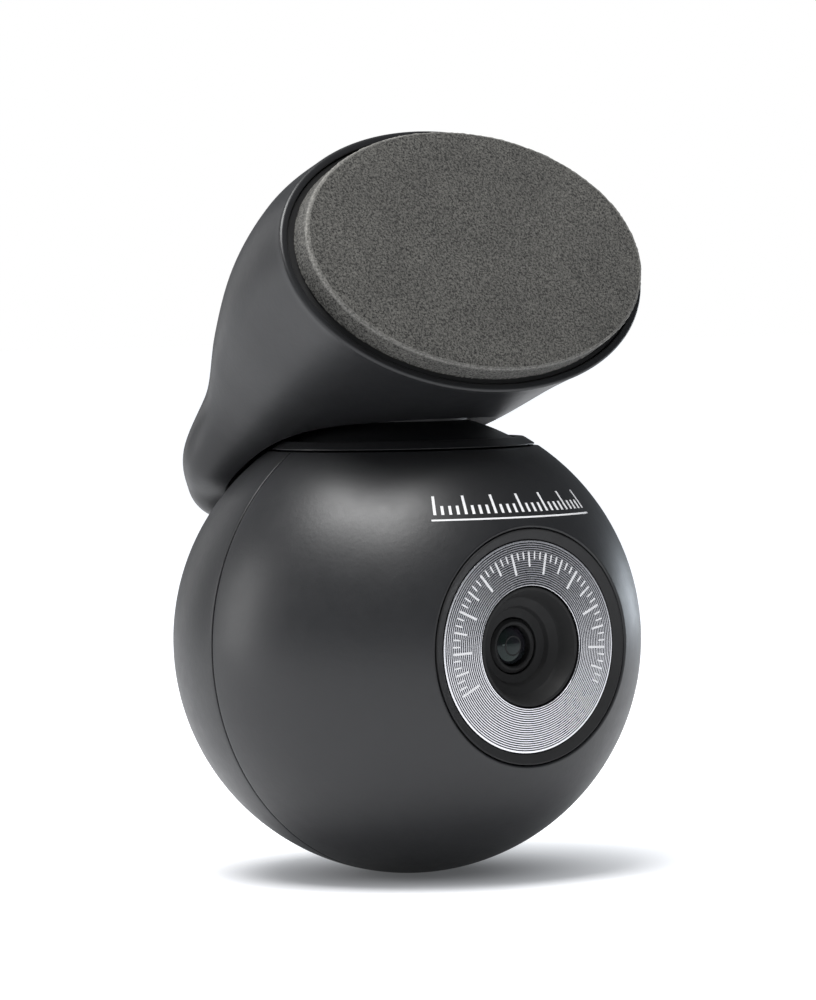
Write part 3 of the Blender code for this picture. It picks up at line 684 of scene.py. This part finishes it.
def mount_body():
    """Outside of the mount with its recessed mouth, rounded rim and rounded lobe tip."""
    mouth = MOUNT_SECTIONS[0]
    rim = 0.3
    rings = [
        mount_section(mouth, RIM_WIDTH, FINE, PAD_NORMAL * -RECESS_DEPTH),
        mount_section(mouth, RIM_WIDTH, FINE, PAD_NORMAL * -0.6),
    ]
    for a in quarter(4):
        inset = RIM_WIDTH - 0.15 * (1 - math.cos(a))
        rings.append(mount_section(mouth, inset, FINE, PAD_NORMAL * 0.15 * (math.sin(a) - 1)))
    for a in quarter(6):
        inset = rim * (1 - math.sin(a))
        rings.append(mount_section(mouth, inset, FINE, PAD_NORMAL * rim * (math.cos(a) - 1)))
    stations = smooth_path([Vector(s) for s in MOUNT_SECTIONS], 10)
    rings += [mount_section(s, 0, FINE) for s in stations[1:]]
    for a in quarter(10)[1:]:
        push = Vector((0, 0.66, -0.75)) * TIP_REACH * math.sin(a)
        rings.append(mount_section(MOUNT_SECTIONS[-1], TIP_ROUNDING * (1 - math.cos(a)), FINE, push))
    return lofted(rings)


def mount_cavity():
    """The hollow behind the mouth's plate, above a floor that follows the ball."""
    stations = smooth_path([Vector(s) for s in MOUNT_SECTIONS[:5]], 6)
    rings = [mount_section(s, MOUNT_WALL, 96) for s in stations]
    beyond = [p + PAD_NORMAL * 0.5 for p in rings[0]]
    posts = [rod(1.9, (x, -7, -3), (x, -7, -14), SOCKET_FRAME) for x in (-6.8, 6.8)]
    return carved(lofted([beyond, *rings]), ball(FLOOR_RADIUS), rod(8.5, (0, 0, 15), (0, 0, 25.4)), *posts)


def make_mount_shell():
    shell = carved(
        mount_body(),
        mount_cavity(),
        ball(SCOOP_RADIUS, 192),
        rod(STEM_RADIUS + 0.1, (0, 0, 15), (0, 0, 27), steps=96),
        rod(COLLAR_RADIUS + 0.2, (0, 0, 15), (0, 0, COLLAR_TOP + 0.15), steps=96),
        block((13.9, 6, 7.9), (0, 1.85, 0), SOCKET_FRAME),
        block((9.4, 12, 3.8), (0, -2, 0), SOCKET_FRAME),
    )
    piece("mount_shell_surface", shell, SATIN, "satin_black", "mount", "mount_shell")


def oval_ring(half_width, half_height, height, count=FINE):
    turn = [2 * math.pi * k / count for k in range(count)]
    return [Vector((half_width * math.cos(a), half_height * math.sin(a), height)) for a in turn]


def make_pad_plate():
    gap = RIM_WIDTH + 0.06
    edge = 0.06
    rings = [oval_ring(PAD_HALF_WIDTH - gap, PAD_HALF_HEIGHT - gap, -PLATE_SINK - PLATE_THICKNESS)]
    for a in quarter(5):
        inset = gap + edge * (1 - math.cos(a))
        rings.append(oval_ring(
            PAD_HALF_WIDTH - inset, PAD_HALF_HEIGHT - inset, -PLATE_SINK - edge * (1 - math.sin(a))
        ))
    piece("pad_plate_surface", lofted(rings), MATTE, "gloss_black", "mount", "pad_plate", turn=PAD_FRAME)


def foam_level(share):
    """Height of the foam's face at this share of the way out: crowned, and rounded over at the rim."""
    crown = FOAM_PROUD - 0.1 * share ** 3
    if share <= 1 - FOAM_RIM:
        return crown
    over = (share - 1 + FOAM_RIM) / FOAM_RIM
    return crown - FOAM_ROUNDING * (1 - math.sqrt(max(1 - over ** 2, 0)))


def make_foam():
    """The foam pad: open-cell grain on its face, and a painted highlight marked along the rounded lip of its
    cut edge.
    """
    bm = bmesh.new()
    count = 400
    flat = 0.972
    shares = [flat * i / 100 for i in range(1, 100)] + [flat + (1 - flat) * i / 12 for i in range(13)]
    levels = [(share, foam_level(share)) for share in shares]
    wall_top = levels[-1][1]
    levels += [(1.0, wall_top + (FOAM_BASE - wall_top) * i / 14) for i in range(1, 15)]
    rows = []
    for share, height in levels:
        rows.append([
            bm.verts.new(p)
            for p in oval_ring(FOAM_HALF_WIDTH * share, FOAM_HALF_HEIGHT * share, height, count)
        ])
    middle = bm.verts.new((0, 0, FOAM_PROUD))
    for k in range(count):
        bm.faces.new((middle, rows[0][k], rows[0][(k + 1) % count]))
    for one, two in zip(rows, rows[1:]):
        for k in range(count):
            n = (k + 1) % count
            bm.faces.new((one[k], two[k], two[n], one[n]))
    bm.faces.new(list(reversed(rows[-1])))
    bmesh.ops.recalc_face_normals(bm, faces=bm.faces)
    base = set(rows[-1])
    lip_highlight = bm.verts.layers.float.new("painted_lip_highlight")
    for vert in bm.verts:
        if vert in base:
            continue
        out = math.hypot(vert.co.x / FOAM_HALF_WIDTH, vert.co.y / FOAM_HALF_HEIGHT)
        near_edge = max(0.0, min(1.0, (out - 0.9) / 0.1))
        from_lip = abs(vert.co.z - wall_top - 0.5 * FOAM_ROUNDING) / (0.5 * FOAM_ROUNDING)
        # Painted highlight: strongest halfway round the rounded lip, fading onto the face and the top of the
        # wall.
        vert[lip_highlight] = 0.75 * max(0.0, 1 - 0.5 * from_lip) if out > 0.975 else 0.0
        grain = noise.noise(vert.co * 3.1) + 0.6 * noise.noise(vert.co * 6.7)
        wave = noise.noise(Vector((vert.co.x * 0.25, vert.co.y * 0.25, 3.0)))
        vert.co += vert.normal * ((0.02 + 0.045 * near_edge) * (grain - 0.9) + 0.03 * (wave - 1.0))
    foam = piece("foam_pad_soft", bm, FOAM, "foam", "mount", "foam_pad", turn=PAD_FRAME)


# Cable socket in the mount's back

FACE_OUT = SOCKET_FRAME @ Matrix.Rotation(math.radians(-90), 4, "X")


def make_socket():
    """Bezel, socket can and contact tongue; local Z of these slabs points out of the mount."""
    bezel = carved(slab(6.8, 3.8, 0.9, -1.0, 0.0, 0.18), slab(4.65, 1.8, 0.7, -3.0, 3.0, 0.05))
    piece("socket_bezel_surface", bezel, CHARCOAL, "gloss_black", "mount", "socket_bezel", turn=FACE_OUT)
    can = carved(slab(4.5, 1.65, 1.2, -7.7, -0.2, 0.08), slab(4.2, 1.35, 0.95, -6.0, 2.0, 0.05))
    piece("socket_can_surface", can, STEEL, "steel", "mount", "cable_socket", turn=FACE_OUT)
    tongue = slab(3.3, 0.4, 0.2, -5.85, -1.25, 0.08)
    piece("socket_tongue_surface", tongue, NYLON, "nylon", "mount", "socket_tongue", turn=FACE_OUT)
    pins = [block((0.26, 0.06, 3.4), (-2.6 + 0.65 * i, 0.41, -3.3)) for i in range(9)]
    piece("socket_contacts", joined(pins), GOLD, "steel", "mount", turn=FACE_OUT)


# Finishes of the CAD pieces that stay

KEPT = {
    STEEL: (
        "retaining_clip", "yoke_hoop", "wave_washer",
        "hoop_screw_left", "hoop_screw_right", "socket_screw_left",
        "socket_screw_right", "lens_screw_left", "lens_screw_right", "frame_screw_left_lower",
        "frame_screw_left_upper", "frame_screw_right_lower", "frame_screw_right_upper", "board_screw_left",
        "board_screw_right", "trunnion_pin_left", "trunnion_pin_right",
    ),
    NYLON: ("inner_frame", "board_connector", "friction_washer_left", "friction_washer_right"),
    BOARD: ("socket_board", "sensor_board", "main_board"),
    CHIP: ("image_sensor", "image_processor"),
    GLASS: ("rear_lens", "ir_filter"),
    GLOSS: ("lens_holder",),
    SLEEVE: ("mount_lead", "camera_lead"),
}


def finish_kept_nodes():
    for material, names in KEPT.items():
        for name in names:
            mesh = frame["nodes"][name].data
            mesh.materials.clear()
            mesh.materials.append(material)


# Stage: floor, light and camera

VIEW_AZIMUTH = math.radians(-36.52)
VIEW_ELEVATION = math.radians(2.21)
VIEW_ROLL = math.radians(-1.16)
VIEW_DISTANCE = 500 * MM
BALL_OFFSET = (-0.077 * MM, -13.34 * MM)     # the ball's centre from the picture's centre, at that distance
LENS_LENGTH = 187.0


def view_axes():
    """Unit vectors to the picture's right, to its top and towards the camera."""
    back = Vector((
        math.sin(VIEW_AZIMUTH) * math.cos(VIEW_ELEVATION),
        -math.cos(VIEW_AZIMUTH) * math.cos(VIEW_ELEVATION),
        math.sin(VIEW_ELEVATION),
    ))
    level = Vector((math.cos(VIEW_AZIMUTH), math.sin(VIEW_AZIMUTH), 0))
    rise = back.cross(level)
    c, s = math.cos(VIEW_ROLL), math.sin(VIEW_ROLL)
    return c * level + s * rise, c * rise - s * level, back


RIGHT, UP, BACK = view_axes()


def make_camera():
    data = bpy.data.cameras.new("studio_camera")
    data.lens = LENS_LENGTH
    data.sensor_width = 36.0
    data.clip_start = 0.01
    camera = bpy.data.objects.new("studio_camera", data)
    turn = Matrix((RIGHT, UP, BACK)).transposed()
    place = CENTRE + BACK * VIEW_DISTANCE - RIGHT * BALL_OFFSET[0] - UP * BALL_OFFSET[1]
    camera.matrix_world = Matrix.Translation(place) @ turn.to_4x4()
    bpy.context.scene.collection.objects.link(camera)
    bpy.context.scene.camera = camera


def softbox(name, direction, distance, width, height, radiance, colour=(1, 1, 1)):
    """A rectangular light seen from the ball in this direction, given to the right, up and back."""
    towards = (RIGHT * direction[0] + UP * direction[1] + BACK * direction[2]).normalized()
    data = bpy.data.lights.new(name, "AREA")
    data.shape = "RECTANGLE"
    data.size = width
    data.size_y = height
    data.energy = radiance * math.pi * width * height
    data.color = colour
    light = bpy.data.objects.new(name, data)
    light.matrix_world = (
        Matrix.Translation(CENTRE + towards * distance) @ towards.to_track_quat("Z", "Y").to_matrix().to_4x4()
    )
    bpy.context.scene.collection.objects.link(light)


def make_lights():
    softbox("overhead", (-0.24, 0.92, 0.3), 0.42, 0.3, 0.2, 16.0)
    softbox("left_strip", (-0.99, 0.04, 0.0), 0.5, 0.14, 0.46, 5.6)
    softbox("right_key", (0.74, -0.2, 0.64), 0.5, 0.12, 0.2, 2.2)
    softbox("right_back", (0.62, -0.08, -0.78), 0.6, 0.24, 0.3, 6.0, (0.84, 0.92, 1.0))
    softbox("left_back", (-0.65, 0.1, -0.75), 0.6, 0.25, 0.5, 0.8)


def make_world():
    """White to look at, and a dim even light on the object."""
    world = bpy.data.worlds.new("studio")
    world.use_nodes = True
    tree = world.node_tree
    seen = tree.nodes["Background"]
    seen.inputs["Color"].default_value = (1, 1, 1, 1)
    seen.inputs["Strength"].default_value = 1.0
    dim = tree.nodes.new("ShaderNodeBackground")
    dim.inputs["Color"].default_value = (0.9, 0.94, 1.0, 1)
    dim.inputs["Strength"].default_value = 0.15
    path = tree.nodes.new("ShaderNodeLightPath")
    mixed = tree.nodes.new("ShaderNodeMixShader")
    tree.links.new(path.outputs["Is Camera Ray"], mixed.inputs["Fac"])
    tree.links.new(dim.outputs["Background"], mixed.inputs[1])
    tree.links.new(seen.outputs["Background"], mixed.inputs[2])
    tree.links.new(mixed.outputs["Shader"], tree.nodes["World Output"].inputs["Surface"])
    bpy.context.scene.world = world


def make_floor():
    """Glows white further out, so that it melts into the backdrop; near the ball's foot its glow is turned
    down as a painted contact shadow.
    """
    bm = bmesh.new()
    bmesh.ops.create_circle(bm, cap_ends=True, segments=96, radius=6.0)
    floor = as_object(bm, "studio_floor")
    floor.matrix_world = Matrix.Translation((CENTRE.x, CENTRE.y, FLOOR_HEIGHT - 0.02 * MM))
    made, tree, shader = new_material("studio_floor", (0.55, 0.55, 0.56), 0.9)
    tint = ramp(tree, object_noise(tree, 3.0), (0.54, 0.54, 0.55), (0.56, 0.56, 0.57))
    tree.links.new(tint, shader.inputs["Base Color"])
    shader.inputs["Specular IOR Level"].default_value = 0.0
    where = tree.nodes.new("ShaderNodeTexCoord")
    reach = tree.nodes.new("ShaderNodeVectorMath")
    reach.operation = "LENGTH"
    tree.links.new(where.outputs["Object"], reach.inputs[0])
    # Painted contact shadow: the glow falls from full strength 36 mm out to 0.08 at the ball's foot.
    painted_shadow_ramp = add_node(tree, "ShaderNodeMapRange")
    painted_shadow_ramp.interpolation_type = "SMOOTHSTEP"
    for name, value in (("From Min", 0.004), ("From Max", 0.036), ("To Min", 0.08), ("To Max", 1.0)):
        painted_shadow_ramp.inputs[name].default_value = value
    tree.links.new(reach.outputs["Value"], painted_shadow_ramp.inputs["Value"])
    path = tree.nodes.new("ShaderNodeLightPath")
    share = add_node(tree, "ShaderNodeMapRange")
    share.inputs["To Min"].default_value = 0.6
    tree.links.new(path.outputs["Is Camera Ray"], share.inputs["Value"])
    seen = tree.nodes.new("ShaderNodeMath")
    seen.operation = "MULTIPLY"
    tree.links.new(painted_shadow_ramp.outputs["Result"], seen.inputs[0])
    tree.links.new(share.outputs["Result"], seen.inputs[1])
    shader.inputs["Emission Color"].default_value = (0.94, 0.965, 1.0, 1)
    tree.links.new(seen.outputs["Value"], shader.inputs["Emission Strength"])
    floor.data.materials.append(made)


make_camera()
make_front_shell()
make_rear_shell()
make_top_ring()
make_dome()
make_bezel()
make_trim_ring()
make_hood()
make_barrel()
make_front_lens()
make_ring_scale()
make_ball_print()
make_mount_shell()
make_pad_plate()
make_foam()
make_socket()
finish_kept_nodes()
make_floor()
make_world()
make_lights()
bpy.context.scene.view_settings.view_transform = "Standard"
